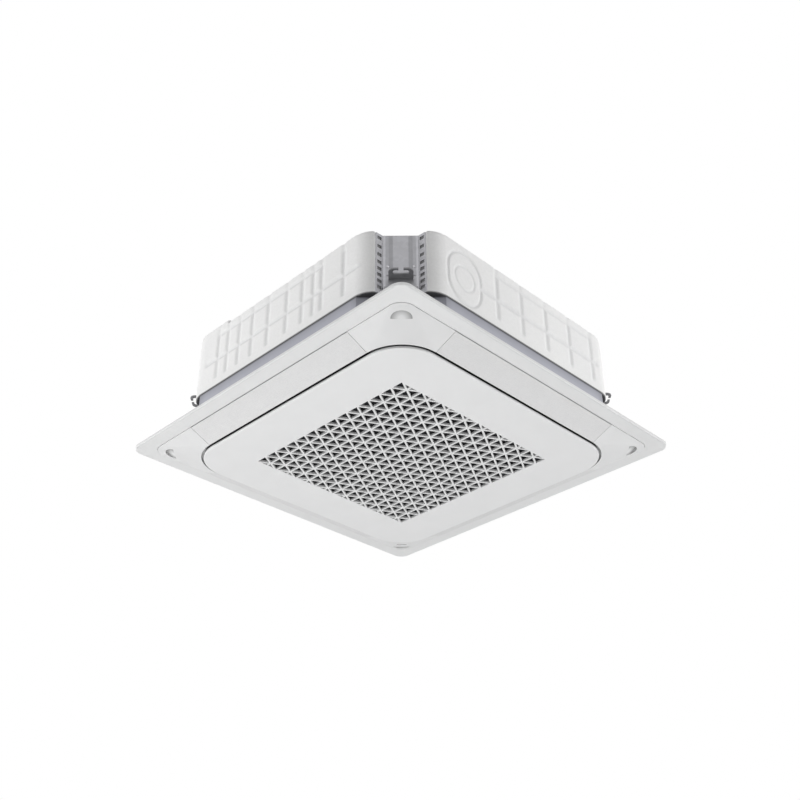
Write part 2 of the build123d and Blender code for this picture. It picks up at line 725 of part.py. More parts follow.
def fan_motor():
    bore = SHAFT_RADIUS + 0.05
    return revolve_profile([(bore, 152), (22, 152), (26, 160), (62, 164), (70, 172), (70, 240),
                            (64, 248), (64, 250), (0, 250), (0, 202), (bore, 202)])


def motor_bracket():
    low = 250
    plate = rod(66, (0, 0, low), (0, 0, low + 2))
    for angle in (45, 135, 225, 315):
        plate += place(angle, block((50, 136), (-14, 14), (low, low + 2)))
    return plate


def motor_rubbers():
    rubbers = []
    for angle in (45, 135, 225, 315):
        rubbers.append(place(angle, rod(10, (122, 0, 252), (122, 0, BODY_TOP - 5))))
    return group(rubbers)


def heat_exchanger():
    """The finned coil, bent round the fan and open at the north-east corner."""
    outer = COIL_INSIDE + COIL_DEPTH
    coil = ring(outer, 82, COIL_INSIDE, 40, COIL_BOTTOM, COIL_TOP)
    gap = block((COIL_END, outer + 5), (COIL_END, outer + 5), (COIL_BOTTOM - 1, COIL_TOP + 1))
    return coil - gap


def tube_sheets():
    x = (COIL_INSIDE, COIL_INSIDE + COIL_DEPTH)
    sheet = block(x, (COIL_END, COIL_END + 2), (COIL_BOTTOM, COIL_TOP))
    other = block((COIL_END, COIL_END + 2), x, (COIL_BOTTOM, COIL_TOP))
    return group([sheet, other])


def return_bends():
    """The U-shaped tubes at the coil's two ends."""
    middle = COIL_INSIDE + COIL_DEPTH / 2
    bends = []
    for height in (80, 120, 160, 216):
        bend = Rot(0, 90, 0) * Torus(11, 4, major_angle=180, align=None)
        bends.append(Pos(middle, COIL_END + 2, height) * bend)
        bends.append(Pos(COIL_END + 2, middle, height) * (Rot(0, 0, -90) * bend))
    return group(bends)


def bent_pipe(radius, start, corner, end, bend):
    path = FilletPolyline(start, corner, end, radius=bend)
    section = Plane(origin=start, z_dir=Vector(*corner) - Vector(*start)) * Circle(radius)
    return sweep(section, path=path)


def refrigerant_pipe(radius, start_x, port, union):
    y, z = port
    pipe = bent_pipe(radius, (start_x, COIL_END + 2, z), (start_x, y, z), (PORT_REACH - 28, y, z), 18)
    body = rod(union, (PORT_REACH - 30, y, z), (PORT_REACH - 14, y, z))
    hex_flat = Plane(origin=(PORT_REACH - 38, y, z), z_dir=(1, 0, 0)) * RegularPolygon(union * 1.25, 6)
    pipe += body + extrude(hex_flat, 8)
    return pipe - rod(radius - 1, (PORT_REACH - 60, y, z), (PORT_REACH - 13, y, z))


def flare_nut(radius, port, union):
    y, z = port
    start = PORT_REACH - 30
    flats = Plane(origin=(start, y, z), z_dir=(1, 0, 0)) * RegularPolygon(union * 1.42, 6)
    nut = extrude(flats, 18)
    nut += rod(radius + 4.5, (start + 17, y, z), (PORT_REACH, y, z))
    nut -= rod(union, (start - 1, y, z), (PORT_REACH - 12, y, z))
    return nut - rod(radius + 0.11, (start, y, z), (PORT_REACH + 1, y, z))


def pipe_plate():
    face = BODY_SIDE / 2
    plate = block((face, face + 1.5), (206, 306), (98, 222))
    plate = fillet(plate.edges().filter_by(Axis.X), 8)
    for radius, (y, z) in ((GAS_RADIUS, GAS_PORT), (LIQUID_RADIUS, LIQUID_PORT)):
        plate -= rod(radius, (face - 1, y, z), (face + 3, y, z))
    return plate


def drain_pump():
    """Pump and float switch on one bracket, which is held by the coil's end plate."""
    x, y = DRAIN_PORT[0], 318
    body = rod(26, (x, y, 76), (x, y, 122)) + rod(17, (x, y, 121), (x, y, 152))
    inlet = rod(13, (x, y, 54), (x, y, 77))
    bracket = block((COIL_END + 2, 316), (266, 300), (98, 101))
    bracket += block((x - 26, x + 26), (290, 344), (98, 101))
    stem = rod(3, (300, 283, 52), (300, 283, 99)) + rod(5.5, (300, 283, 88), (300, 283, 99))
    return body + inlet + bracket + stem


def pump_float():
    return tube(13, 3.08, (300, 283, 54), (300, 283, 72))


def drain_hose():
    x, z = DRAIN_PORT
    start, corner, end = (x, 318, 152), (x, 318, z), (x, 404, z)
    return bent_pipe(12, start, corner, end, 22) - bent_pipe(10, start, corner, end, 22)


def drain_outlet():
    x, z = DRAIN_PORT
    stub = rod(DRAIN_RADIUS, (x, 398, z), (x, 456, z))
    collar = rod(24, (x, 420, z), (x, 423, z))
    return stub + collar - rod(12, (x, 397, z), (x, 457, z))


def cable_gland():
    x, z = CABLE_PORT
    sleeve = rod(13, (x, 398, z), (x, 424, z))
    collar = rod(18, (x, 420, z), (x, 425, z))
    return sleeve + collar - rod(9, (x, 397, z), (x, 426, z))


def control_box():
    outside = block((228, 340), (-150, 150), (-10, 17))
    inside = block((229.5, 338.5), (-148.5, 148.5), (-11, 15.5))
    return outside - inside


def control_box_lid():
    lid = block((226.5, 341.5), (-151.5, 151.5), (-12, -10))
    return lid


def terminal_block():
    base = block((236, 262), (-120, -40), (1.5, 15.5))
    for number in range(6):
        y = -113 + 13 * number
        base -= block((235, 263), (y - 4, y + 4), (0.5, 6))
    return base


def circuit_board():
    board = block((270, 334), (-130, 130), (8, 10))
    for x, y in ((276, -124), (328, -124), (276, 124), (328, 124)):
        board += rod(3, (x, y, 9), (x, y, 15.5))
    for x, y, wide, high in ((300, -80, 14, -2), (300, -20, 18, 0), (295, 50, 10, -5), (312, 95, 12, -3)):
        board += block((x - wide, x + wide), (y - wide, y + wide), (high, 9))
    return board


def receiver_window(shell):
    middle = RECEIVER_DISTANCE
    return shell & diagonal(block((middle - 4, middle + 4), (-14, 14), (-50, 5)))


# ---------------------------------------------------------------- all sub-parts
def build():
    shell = sloping_ring()
    parts = {"panel_frame": panel_frame(), "air_guide": air_guide(), "panel_gasket": panel_gasket()}
    for side in SIDES:
        parts[f"blade_{side}"] = blade(side)
        parts[f"blade_motor_{side}"] = blade_motor(side)
    for corner in CORNERS:
        parts[f"corner_cover_{corner}"] = corner_cover(corner, shell)
        parts[f"corner_plate_{corner}"] = corner_plate(corner)
        parts[f"hanger_bracket_{corner}"] = hanger_bracket(corner)
    window = receiver_window(shell)
    parts["receiver_window"] = window
    parts["corner_cover_north_east"] -= window
    parts["intake_grille"] = intake_grille()
    parts["grille_latch_west"] = grille_latch(LATCH_PLACES[0])
    parts["grille_latch_east"] = grille_latch(LATCH_PLACES[1])
    parts["filter_frame"] = filter_frame()
    parts["filter_mesh"] = filter_mesh()
    parts["base_frame"] = base_frame()
    parts["casing"] = casing()
    parts["top_plate"] = top_plate()
    parts["bracket_screws"] = bracket_screws()
    parts["panel_screws"] = panel_screws()
    parts["drain_pan"] = drain_pan()
    parts["bell_mouth"] = bell_mouth()
    parts["fan_impeller"] = fan_impeller()
    parts["motor_shaft"] = motor_shaft()
    parts["hub_nut"] = hub_nut()
    parts["fan_motor"] = fan_motor()
    parts["motor_bracket"] = motor_bracket()
    parts["motor_rubbers"] = motor_rubbers()
    parts["heat_exchanger"] = heat_exchanger()
    parts["tube_sheets"] = tube_sheets()
    parts["return_bends"] = return_bends()
    parts["gas_pipe"] = refrigerant_pipe(GAS_RADIUS, 283, GAS_PORT, 11.1)
    parts["liquid_pipe"] = refrigerant_pipe(LIQUID_RADIUS, 295, LIQUID_PORT, 7.95)
    parts["gas_flare_nut"] = flare_nut(GAS_RADIUS, GAS_PORT, 11.1)
    parts["liquid_flare_nut"] = flare_nut(LIQUID_RADIUS, LIQUID_PORT, 7.95)
    parts["pipe_plate"] = pipe_plate()
    parts["drain_pump"] = drain_pump()
    parts["pump_float"] = pump_float()
    parts["drain_hose"] = drain_hose()
    parts["drain_outlet"] = drain_outlet()
    parts["cable_gland"] = cable_gland()
    parts["control_box"] = control_box()
    parts["control_box_lid"] = control_box_lid()
    parts["terminal_block"] = terminal_block()
    parts["circuit_board"] = circuit_board()
    return parts


def main():
    os.makedirs("parts", exist_ok=True)
    for name, shape in build().items():
        export_step(shape, f"parts/{name}.step")


main()
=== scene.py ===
import json
import math

import bmesh
import bpy
from mathutils import Matrix, Vector


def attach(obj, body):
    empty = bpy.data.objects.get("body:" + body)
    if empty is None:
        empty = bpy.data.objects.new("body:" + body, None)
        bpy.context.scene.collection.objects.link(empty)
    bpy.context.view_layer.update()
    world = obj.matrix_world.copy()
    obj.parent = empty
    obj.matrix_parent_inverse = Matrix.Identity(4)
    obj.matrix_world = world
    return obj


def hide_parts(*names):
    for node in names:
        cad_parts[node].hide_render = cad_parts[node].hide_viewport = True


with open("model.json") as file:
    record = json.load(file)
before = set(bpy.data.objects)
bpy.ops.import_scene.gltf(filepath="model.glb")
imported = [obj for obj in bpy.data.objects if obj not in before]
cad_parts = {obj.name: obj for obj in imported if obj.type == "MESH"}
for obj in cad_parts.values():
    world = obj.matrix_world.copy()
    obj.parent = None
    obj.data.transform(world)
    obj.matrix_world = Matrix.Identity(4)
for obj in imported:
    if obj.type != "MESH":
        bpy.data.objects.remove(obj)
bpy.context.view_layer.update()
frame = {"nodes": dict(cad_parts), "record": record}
nodes = frame["nodes"]
scene = bpy.context.scene
MM = 0.001
HALF_ROOT = math.sqrt(0.5)          # turns the sum of two coordinates into a place on the diagonal


# ---------------------------------------------------------------- materials
# where the painted shade and light on the finishes change, as the solids have it: spans out from
# the centre, or up
PANEL_EDGE = (470 * MM, 475 * MM)
GRILLE_DEPTHS = (-40 * MM, -34 * MM)
BAND_HEIGHTS = (20 * MM, 90 * MM)
BAND_CORNER = (480 * MM, 520 * MM)  # along the diagonal
BRACKET_HEIGHTS = (94 * MM, 137 * MM)
PLATE_WIDTHS = (0, 60 * MM)         # to each side of the diagonal
DENT_DISTANCE = 562 * MM            # centre to the straight side of a cover's finger dent
DENT_RADIUS = 23 * MM

EVEN = (0.988, 1.012)               # how little the colour of a plastic wanders
SPANGLE = 110                       # zinc's crystals to a metre
CASING_BEADS, PAN_BEADS = 230, 240  # beads of foam to a metre


def shade(colour, factor):
    return tuple(min(1.0, c * factor) for c in colour)


def grey_of(value):
    return (value, value, value)


class Finish:
    """One procedural material: a plastic or metal shader with texture nodes round it.

    The scales of its textures are in features to a metre, about."""

    def __init__(self, name, metallic=0.0, specular=0.5):
        self.material = bpy.data.materials.new(name)
        self.material.use_nodes = True
        self.tree = self.material.node_tree
        self.shader = self.tree.nodes["Principled BSDF"]
        self.shader.inputs["Metallic"].default_value = metallic
        self.shader.inputs["Specular IOR Level"].default_value = specular
        self.place = self.add("ShaderNodeTexCoord").outputs["Object"]
        self.normal = None

    def add(self, kind, **values):
        node = self.tree.nodes.new(kind)
        for key, value in values.items():
            setattr(node, key, value)
        return node

    def link(self, source, target):
        self.tree.links.new(source, target)

    # sources
    def stretched(self, scale):
        node = self.add("ShaderNodeMapping")
        node.inputs["Scale"].default_value = scale
        self.link(self.place, node.inputs["Vector"])
        return node.outputs["Vector"]

    def noise(self, scale, detail=3.0, vector=None, rough=0.5):
        node = self.add("ShaderNodeTexNoise")
        node.inputs["Scale"].default_value = scale
        node.inputs["Detail"].default_value = detail
        node.inputs["Roughness"].default_value = rough
        self.link(vector or self.place, node.inputs["Vector"])
        return node.outputs["Fac"]

    def cells(self, scale, feature="F1", output="Distance", randomness=1.0):
        node = self.add("ShaderNodeTexVoronoi", feature=feature)
        node.inputs["Scale"].default_value = scale
        node.inputs["Randomness"].default_value = randomness
        self.link(self.place, node.inputs["Vector"])
        return node.outputs[output]

    def wave(self, scale, direction):
        node = self.add("ShaderNodeTexWave", bands_direction=direction)
        node.inputs["Scale"].default_value = scale
        self.link(self.place, node.inputs["Vector"])
        return node.outputs["Fac"]

    def attribute(self, name):
        """A value stored on the mesh, such as how deep a point lies in a groove."""
        return self.add("ShaderNodeAttribute", attribute_name=name).outputs["Fac"]

    def axes(self):
        """The point's three coordinates in the shared frame, in metres."""
        node = self.add("ShaderNodeSeparateXYZ")
        self.link(self.place, node.inputs["Vector"])
        return node.outputs["X"], node.outputs["Y"], node.outputs["Z"]

    def diagonal(self):
        """How far a point lies out along its corner's diagonal, and how far to the side of it."""
        x, y, _ = self.axes()
        x, y = self.maths("ABSOLUTE", x), self.maths("ABSOLUTE", y)
        out = self.maths("MULTIPLY", self.maths("ADD", x, y), HALF_ROOT)
        side = self.maths("MULTIPLY", self.maths("SUBTRACT", x, y), HALF_ROOT)
        return out, self.maths("ABSOLUTE", side)

    # what is made of them
    def maths(self, operation, first, second=0.0):
        node = self.add("ShaderNodeMath", operation=operation)
        for socket, value in zip(node.inputs, (first, second)):
            if isinstance(value, (int, float)):
                socket.default_value = value
            else:
                self.link(value, socket)
        return node.outputs["Value"]

    def spread(self, source, low, high, start=0.0, end=1.0):
        node = self.add("ShaderNodeMapRange")
        node.inputs["From Min"].default_value = start
        node.inputs["From Max"].default_value = end
        node.inputs["To Min"].default_value = low
        node.inputs["To Max"].default_value = high
        self.link(source, node.inputs["Value"])
        return node.outputs["Result"]

    def colour(self, source, stops):
        """Colours the source by a ramp of (position, colour) stops."""
        node = self.add("ShaderNodeValToRGB")
        ramp = node.color_ramp
        while len(ramp.elements) < len(stops):
            ramp.elements.new(0.5)
        for element, (position, colour) in zip(ramp.elements, stops):
            element.position = position
            element.color = (*colour, 1.0)
        self.link(source, node.inputs["Fac"])
        return node.outputs["Color"]

    def grey(self, source, low, high, stops):
        """A grey ramp over a span of the source, to multiply a colour by."""
        steps = [(place, grey_of(value)) for place, value in stops]
        return self.colour(self.spread(source, 0, 1, low, high), steps)

    def multiply(self, first, second, amount=1.0):
        """Multiplies two colours. The amount is a number or a source."""
        node = self.add("ShaderNodeMix", data_type="RGBA", blend_type="MULTIPLY")
        if isinstance(amount, float):
            node.inputs["Factor"].default_value = amount
        else:
            self.link(amount, node.inputs["Factor"])
        self.link(first, node.inputs["A"])
        self.link(second, node.inputs["B"])
        return node.outputs["Result"]

    def clouds(self, colour, low, high, scale=14, detail=4):
        """The colour with soft darker and lighter clouds, by two factors."""
        stops = [(0.3, shade(colour, low)), (0.7, shade(colour, high))]
        return self.colour(self.noise(scale, detail), stops)

    def patches(self, scale, channel, low, high):
        """Cells that each have a shade of their own between two colours."""
        split = self.add("ShaderNodeSeparateColor")
        self.link(self.cells(scale, output="Color"), split.inputs["Color"])
        return self.colour(split.outputs[channel], [(0, low), (1, high)])

    # the shader's inputs
    def base(self, source):
        self.link(source, self.shader.inputs["Base Color"])

    def rough(self, scale, low, high, detail=3):
        """A roughness that wanders between two values."""
        source = self.spread(self.noise(scale, detail), low, high)
        self.link(source, self.shader.inputs["Roughness"])

    def bump(self, height, strength, distance):
        """Adds a layer of relief on top of those already there. The distance is in metres."""
        node = self.add("ShaderNodeBump")
        node.inputs["Strength"].default_value = strength
        node.inputs["Distance"].default_value = distance
        self.link(height, node.inputs["Height"])
        if self.normal is not None:
            self.link(self.normal, node.inputs["Normal"])
        self.normal = node.outputs["Normal"]
        self.link(self.normal, self.shader.inputs["Normal"])

    # surfaces that several materials share
    def plastic_skin(self, rough=(0.32, 0.42), grain=0.35):
        """The gloss and the fine eroded grain of injection-moulded plastic."""
        self.rough(60, *rough)
        self.bump(self.noise(2600, 2), grain, 0.05 * MM)

    def flow(self):
        """The slight unevenness of a wide moulded face."""
        self.bump(self.noise(9, 2), 0.08, 0.6 * MM)

    def rolling(self):
        """The faint marks of rolled sheet, along the level."""
        self.bump(self.noise(30, 3, self.stretched((1, 1, 12))), 0.12, 0.4 * MM)


def moulded(name, colour, rough=(0.32, 0.42), grain=0.35, variation=0.012):
    """Injection-moulded plastic: an even colour, a fine grain and a slight flow unevenness."""
    f = Finish(name)
    f.base(f.clouds(colour, 1 - variation, 1 + variation))
    f.plastic_skin(rough, grain)
    f.flow()
    return f.material


def panel_plastic(name, colour):
    """The panel's plastic, with painted shade that greys it along its outer edge."""
    f = Finish(name)
    x, y, _ = f.axes()
    reach = f.maths("MAXIMUM", f.maths("ABSOLUTE", x), f.maths("ABSOLUTE", y))
    # painted shade: the colour greys towards the panel's outer edge
    edge = f.grey(reach, *PANEL_EDGE, [(0, 1), (0.4, 0.93), (0.8, 0.8), (1, 0.74)])
    f.base(f.multiply(f.clouds(colour, *EVEN), edge))
    f.plastic_skin()
    f.flow()
    return f.material


def cover_plastic(name, colour):
    """The corner covers' plastic, with painted shade greying its half-moon finger recess."""
    f = Finish(name)
    out, side = f.diagonal()
    beyond = f.maths("SUBTRACT", out, DENT_DISTANCE)
    squares = f.maths("ADD", f.maths("POWER", beyond, 2), f.maths("POWER", side, 2))
    # painted shade: the colour greys towards the arc of the finger dent, darkest just inside its
    # edge
    painted_dent_shade = f.grey(f.maths("SQRT", squares), 0, DENT_RADIUS,
                  [(0, 1), (0.3, 0.96), (0.62, 0.72), (0.9, 0.46), (0.985, 0.4), (1, 1)])
    inside = f.maths("GREATER_THAN", beyond, 0.0)
    f.base(f.multiply(f.clouds(colour, *EVEN), painted_dent_shade, inside))
    f.plastic_skin()
    return f.material


def grille_plastic(name, colour):
    """The grille's plastic, with painted shade greying it up inside its holes and gaps."""
    f = Finish(name)
    _, _, height = f.axes()
    # painted shade: the colour greys with height up into the holes and the gap round the edge
    inside = f.grey(height, *GRILLE_DEPTHS, [(0.02, 1), (0.12, 0.86), (1, 0.62)])
    f.base(f.multiply(f.clouds(colour, *EVEN), inside))
    f.plastic_skin()
    f.flow()
    return f.material


def perforated(name, colour):
    """The blades' skin: plastic closely pitted with fine air holes."""
    f = Finish(name)
    dots = f.cells(520, randomness=0.6)
    holes = f.colour(dots, [(0.16, (0.86, 0.86, 0.865)), (0.32, grey_of(1))])
    grains = f.noise(120, 5, rough=0.7)
    mottle = f.colour(grains, [(0.38, (0.975, 0.975, 0.978)), (0.62, grey_of(1))])
    plain = f.clouds(colour, 0.985, 1.01, 26)
    f.base(f.multiply(f.multiply(plain, mottle), holes))
    f.rough(80, 0.42, 0.55)
    f.bump(f.spread(dots, 0, 1, 0.18, 0.36), 0.6, 0.3 * MM)
    return f.material


def pan_foam(name, colour):
    """Expanded foam: pressed beads with fine seams between them."""
    f = Finish(name, specular=0.3)
    beads = f.patches(PAN_BEADS, "Red", shade(colour, 0.975), shade(colour, 1.015))
    edges = f.cells(PAN_BEADS, feature="DISTANCE_TO_EDGE")
    seams = f.colour(edges, [(0.0, (0.93, 0.93, 0.94)), (0.1, grey_of(1))])
    f.base(f.multiply(beads, seams))
    f.rough(40, 0.7, 0.85)
    f.bump(f.spread(edges, 0, 1, 0, 0.25), 0.5, 0.4 * MM)
    f.bump(f.noise(12, 2), 0.15, 2 * MM)
    return f.material


def casing_foam(name):
    """White pressed foam: fine beads, with painted shade greying the grooves and painted shadow
    darkening it beneath and in the notches.
    """
    f = Finish(name, specular=0.3)
    tint = f.patches(CASING_BEADS, "Red", (0.845, 0.845, 0.84), (0.875, 0.875, 0.87))
    clouds = f.colour(f.noise(7, 3), [(0.3, (0.965, 0.965, 0.97)), (0.7, grey_of(1))])
    tint = f.multiply(tint, clouds)
    # painted shade greys the grooves, and painted shadow darkens the foam underneath and in the
    # notches
    for attribute, dark in (("groove", (0.9, 0.9, 0.907)), ("painted_shadow", (0.06, 0.06, 0.065))):
        layer = f.colour(f.attribute(attribute), [(0, grey_of(1)), (1, dark)])
        tint = f.multiply(tint, layer)
    f.base(tint)
    f.rough(40, 0.72, 0.86)
    edges = f.cells(CASING_BEADS, feature="DISTANCE_TO_EDGE")
    f.bump(f.spread(edges, 0, 1, 0, 0.25), 0.25, 0.3 * MM)
    return f.material


def sheet_metal(name, colour, rough, spangle, metallic):
    """Galvanised or painted sheet: faint crystal spangle and rolling marks."""
    f = Finish(name, metallic=metallic)
    f.base(f.patches(SPANGLE, "Green", shade(colour, 1 - spangle), shade(colour, 1 + spangle)))
    f.rough(70, *rough, detail=4)
    f.rolling()
    return f.material


def plate_steel(name, colour):
    """The corner plates' zinc sheet, with painted light and shade in upright lines along its
    bends.
    """
    f = Finish(name, metallic=0.6)
    _, side = f.diagonal()
    plain = f.patches(SPANGLE, "Green", shade(colour, 0.96), shade(colour, 1.04))
    # painted light and shade: lighter and darker upright lines across the plate, where its bends
    # catch or lose the light
    painted_fold_shading = [(0, 0.8), (0.27, 0.82), (0.31, 0.64), (0.41, 0.62), (0.46, 0.74),
             (0.54, 0.78), (0.58, 0.98), (0.63, 1), (0.66, 0.66), (1, 0.78)]
    f.base(f.multiply(plain, f.grey(side, *PLATE_WIDTHS, painted_fold_shading)))
    f.rough(70, 0.4, 0.55, 4)
    f.rolling()
    return f.material


def band_paint(name, colour):
    """The frame's violet-grey paint, with painted shadow darkening it just beneath the casing and
    beneath its corners.
    """
    f = Finish(name, metallic=0.1)
    _, _, height = f.axes()
    out, _ = f.diagonal()
    # painted shadow: darker towards the top beneath the casing, and out along the diagonal beneath
    # the casing's corners
    top = f.grey(height, *BAND_HEIGHTS, [(0, 1), (0.7, 0.97), (0.93, 0.78), (1, 0.3)])
    corner = f.grey(out, *BAND_CORNER, [(0, 1), (0.4, 0.75), (1, 0.34)])
    f.base(f.multiply(f.multiply(f.clouds(colour, 0.97, 1.03, 30), top), corner))
    f.rough(70, 0.4, 0.5, 4)
    f.rolling()
    return f.material


def bracket_paint(name, colour):
    """Dark-painted steel, with painted light brightening its upright middle and painted shade
    blackening its foot.
    """
    f = Finish(name, metallic=0.4)
    _, _, height = f.axes()
    # painted light and shade by height: black at the foot, lightest across the upright middle,
    # darker again at the top
    painted_web_shading = f.grey(height, *BRACKET_HEIGHTS,
                 [(0, 0.12), (0.14, 0.15), (0.24, 0.55), (0.55, 1), (0.85, 0.6), (1, 0.45)])
    f.base(f.multiply(f.clouds(colour, 0.9, 1.1, 60), painted_web_shading))
    f.rough(70, 0.35, 0.5, 4)
    f.bump(f.noise(300, 3), 0.15, 0.2 * MM)
    return f.material


def drawn(name, colour):
    """Drawn or turned metal: fine lines along one way and a mild tarnish."""
    f = Finish(name, metallic=1.0)
    f.base(f.clouds(colour, 0.92, 1.08, 24, 5))
    f.rough(90, 0.25, 0.4, 4)
    f.bump(f.noise(700, 3, f.stretched((1, 1, 14))), 0.2, 0.1 * MM)
    return f.material


def finned(name, colour):
    """The coil's edge: close thin fins, which run upright all round."""
    f = Finish(name, metallic=0.9)
    fins = f.wave(160, "DIAGONAL")
    f.base(f.colour(fins, [(0.25, shade(colour, 0.45)), (0.6, colour)]))
    f.rough(50, 0.3, 0.45)
    f.bump(fins, 0.8, 1 * MM)
    return f.material


def net(name, colour):
    """A woven filter net: threads both ways with gaps between."""
    f = Finish(name, specular=0.2)
    threads = f.maths("MAXIMUM", f.wave(260, "X"), f.wave(260, "Y"))
    f.base(f.colour(threads, [(0.4, shade(colour, 0.35)), (0.85, colour)]))
    f.rough(100, 0.75, 0.9, 2)
    f.bump(threads, 0.8, 0.6 * MM)
    return f.material


def soft_rubber(name, colour):
    f = Finish(name, specular=0.25)
    f.base(f.clouds(colour, 0.85, 1.15, 40))
    f.rough(90, 0.65, 0.8)
    f.bump(f.noise(900, 3), 0.3, 0.1 * MM)
    return f.material


MATERIALS = {
    "panel": panel_plastic("panel_plastic", (0.86, 0.865, 0.865)),
    "cover": cover_plastic("cover_plastic", (0.8, 0.803, 0.805)),
    "grille": grille_plastic("grille_plastic", (0.88, 0.883, 0.885)),
    "blade": perforated("blade_plastic", (0.78, 0.78, 0.78)),
    "foam_white": casing_foam("casing_foam"),
    "foam_grey": pan_foam("pan_foam", (0.5, 0.51, 0.53)),
    "band": band_paint("band_paint", (0.38, 0.385, 0.44)),
    "steel": sheet_metal("zinc_sheet", (0.46, 0.46, 0.49), (0.4, 0.55), 0.05, 0.6),
    "bracket": bracket_paint("bracket_paint", (0.45, 0.45, 0.47)),
    "screw": drawn("screw_steel", (0.55, 0.55, 0.57)),
    "gasket": soft_rubber("gasket_foam", (0.05, 0.05, 0.05)),
    "mouth": moulded("mouth_plastic", (0.25, 0.26, 0.28), (0.45, 0.6)),
    "guide": moulded("guide_plastic", (0.03, 0.03, 0.032), (0.5, 0.65)),
    "fan": moulded("fan_plastic", (0.3, 0.31, 0.33), (0.4, 0.55)),
    "motor": sheet_metal("motor_paint", (0.2, 0.21, 0.22), (0.4, 0.6), 0.05, 0.3),
    "rubber": soft_rubber("mount_rubber", (0.03, 0.03, 0.03)),
    "fins": finned("coil_fins", (0.75, 0.76, 0.78)),
    "copper": drawn("copper_tube", (0.72, 0.36, 0.22)),
    "brass": drawn("brass_turned", (0.72, 0.55, 0.25)),
    "filter": moulded("filter_plastic", (0.05, 0.05, 0.055), (0.5, 0.65)),
    "mesh": net("filter_net", (0.045, 0.045, 0.05)),
    "pump": moulded("pump_plastic", (0.7, 0.7, 0.68), (0.4, 0.55)),
    "float": soft_rubber("float_foam", (0.05, 0.05, 0.05)),
    "hose": soft_rubber("hose_rubber", (0.45, 0.45, 0.44)),
    "board": moulded("board_laminate", (0.03, 0.2, 0.08), (0.3, 0.5), variation=0.1),
    "small_motor": moulded("stepper_plastic", (0.75, 0.75, 0.72), (0.4, 0.55)),
    "window": moulded("window_plastic", (0.05, 0.05, 0.055), (0.12, 0.2), 0.1),
}
PLATE_STEEL = plate_steel("plate_steel", (0.6, 0.6, 0.63))

slot_of = {part["node"]: part["material_slot"] for part in frame["record"]["subparts"]}
for name, node in nodes.items():
    on_plate = name.startswith("corner_plate")
    node.data.materials.clear()
    node.data.materials.append(PLATE_STEEL if on_plate else MATERIALS[slot_of[name]])


# ---------------------------------------------------------------- helpers for pieces
def new_piece(name, mesh, slot, body, replaced=()):
    piece = bpy.data.objects.new(name, mesh)
    scene.collection.objects.link(piece)
    mesh.materials.clear()
    mesh.materials.append(MATERIALS[slot])
    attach(piece, body)
    if replaced:
        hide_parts(*replaced)
    return piece


def mesh_of(name, vertices, faces):
    mesh = bpy.data.meshes.new(name)
    mesh.from_pydata(vertices, [], faces)
    return mesh


def settle(piece):
    """Applies the piece's modifiers to its mesh."""
    bpy.context.view_layer.update()
    graph = bpy.context.evaluated_depsgraph_get()
    done = bpy.data.meshes.new_from_object(piece.evaluated_get(graph))
    piece.modifiers.clear()
    piece.data = done
    return done


def smooth_step(value):
    value = min(1.0, max(0.0, value))
    return value * value * (3 - 2 * value)


# ---------------------------------------------------------------- the foam casing
VOXEL = 3.2 * MM
BODY_HALF = 420 * MM
SKIN = 6 * MM                       # a point this near to a side's plane belongs to that side
FACE_HALF = 280 * MM                # the part of a side that grooves may move
FACE_LOW, FACE_HIGH = 100 * MM, 262 * MM
# painted shadow: the foam is darkened underneath, up to this height, and in the notches behind the
# corner plates
UNDER_HIGH, UNDER_SOFT = 94 * MM, 3 * MM   # the dark underside stops here
NOTCH_BACK, NOTCH_MOUTH, NOTCH_HALF = 480 * MM, 508 * MM, 58 * MM
NOTCH_DARK = 0.8

GROOVE_DEPTH = 3.2 * MM
GROOVE_HALF = 10.5 * MM
GROOVE_LOW, GROOVE_HIGH = 121 * MM, 240 * MM
LEVEL = 171 * MM                    # height of the long level groove
LEVEL_HALF, TOP_HALF = 0.95 * GROOVE_HALF, 0.8 * GROOVE_HALF
ABOVE_DEPTH, TOP_DEPTH = 0.5, 0.8   # shallower grooves, as shares of the full depth
GROOVES = {                         # places of the upright grooves along each side, in mm
    "east": (-240, -166, -99, -43, 25, 85, 136),
    "north": (-240, -160, -71, 20, 108),
    "west": (-219, -181, -136, -85, -25, 43, 99, 137, 166, 240),
    "south": (-108, -20, 71, 162, 250),
}
LEVEL_SPAN = {"east": (-262, 136), "north": (-262, 108), "west": (-262, 292), "south": (-166, 270)}
TOP_SPAN = {"east": (-240, 136), "north": (-240, 108), "west": (-219, 166), "south": (-108, 250)}
SIDE_TURN = {"east": 0, "north": 1, "west": 2, "south": 3}

KNOCK_OUT = (-219 * MM, 171 * MM)   # centre of the round knock-out on the south side
KNOCK_RINGS = [                     # width, height, half width of the groove, share of the depth
    (107.5 * MM, 140.5 * MM, 6 * MM, 1.0),
    (64.5 * MM, 64.5 * MM, 5 * MM, 0.6),
]


def side_place(side, point):
    """A point's distance out from the centre and its place along a side's face."""
    x, y = point.x, point.y
    return ((x, y), (y, -x), (-x, -y), (-y, x))[SIDE_TURN[side]]


def dip(distance, half):
    """The round section of a soft groove: 1 at its middle and 0 at its edges."""
    return smooth_step(1 - distance / half)


def stroke(across, along, low, high, half=GROOVE_HALF):
    """A straight groove with round ends."""
    beyond = max(low - along, along - high, 0.0)
    return dip(math.hypot(across, beyond), half)


def oval_distance(dx, dz, wide, high):
    """How far a point lies from the outline of an upright rounded slot."""
    straight = max(0.0, high - wide) / 2
    return abs(math.hypot(dx, max(0.0, abs(dz) - straight)) - wide / 2)


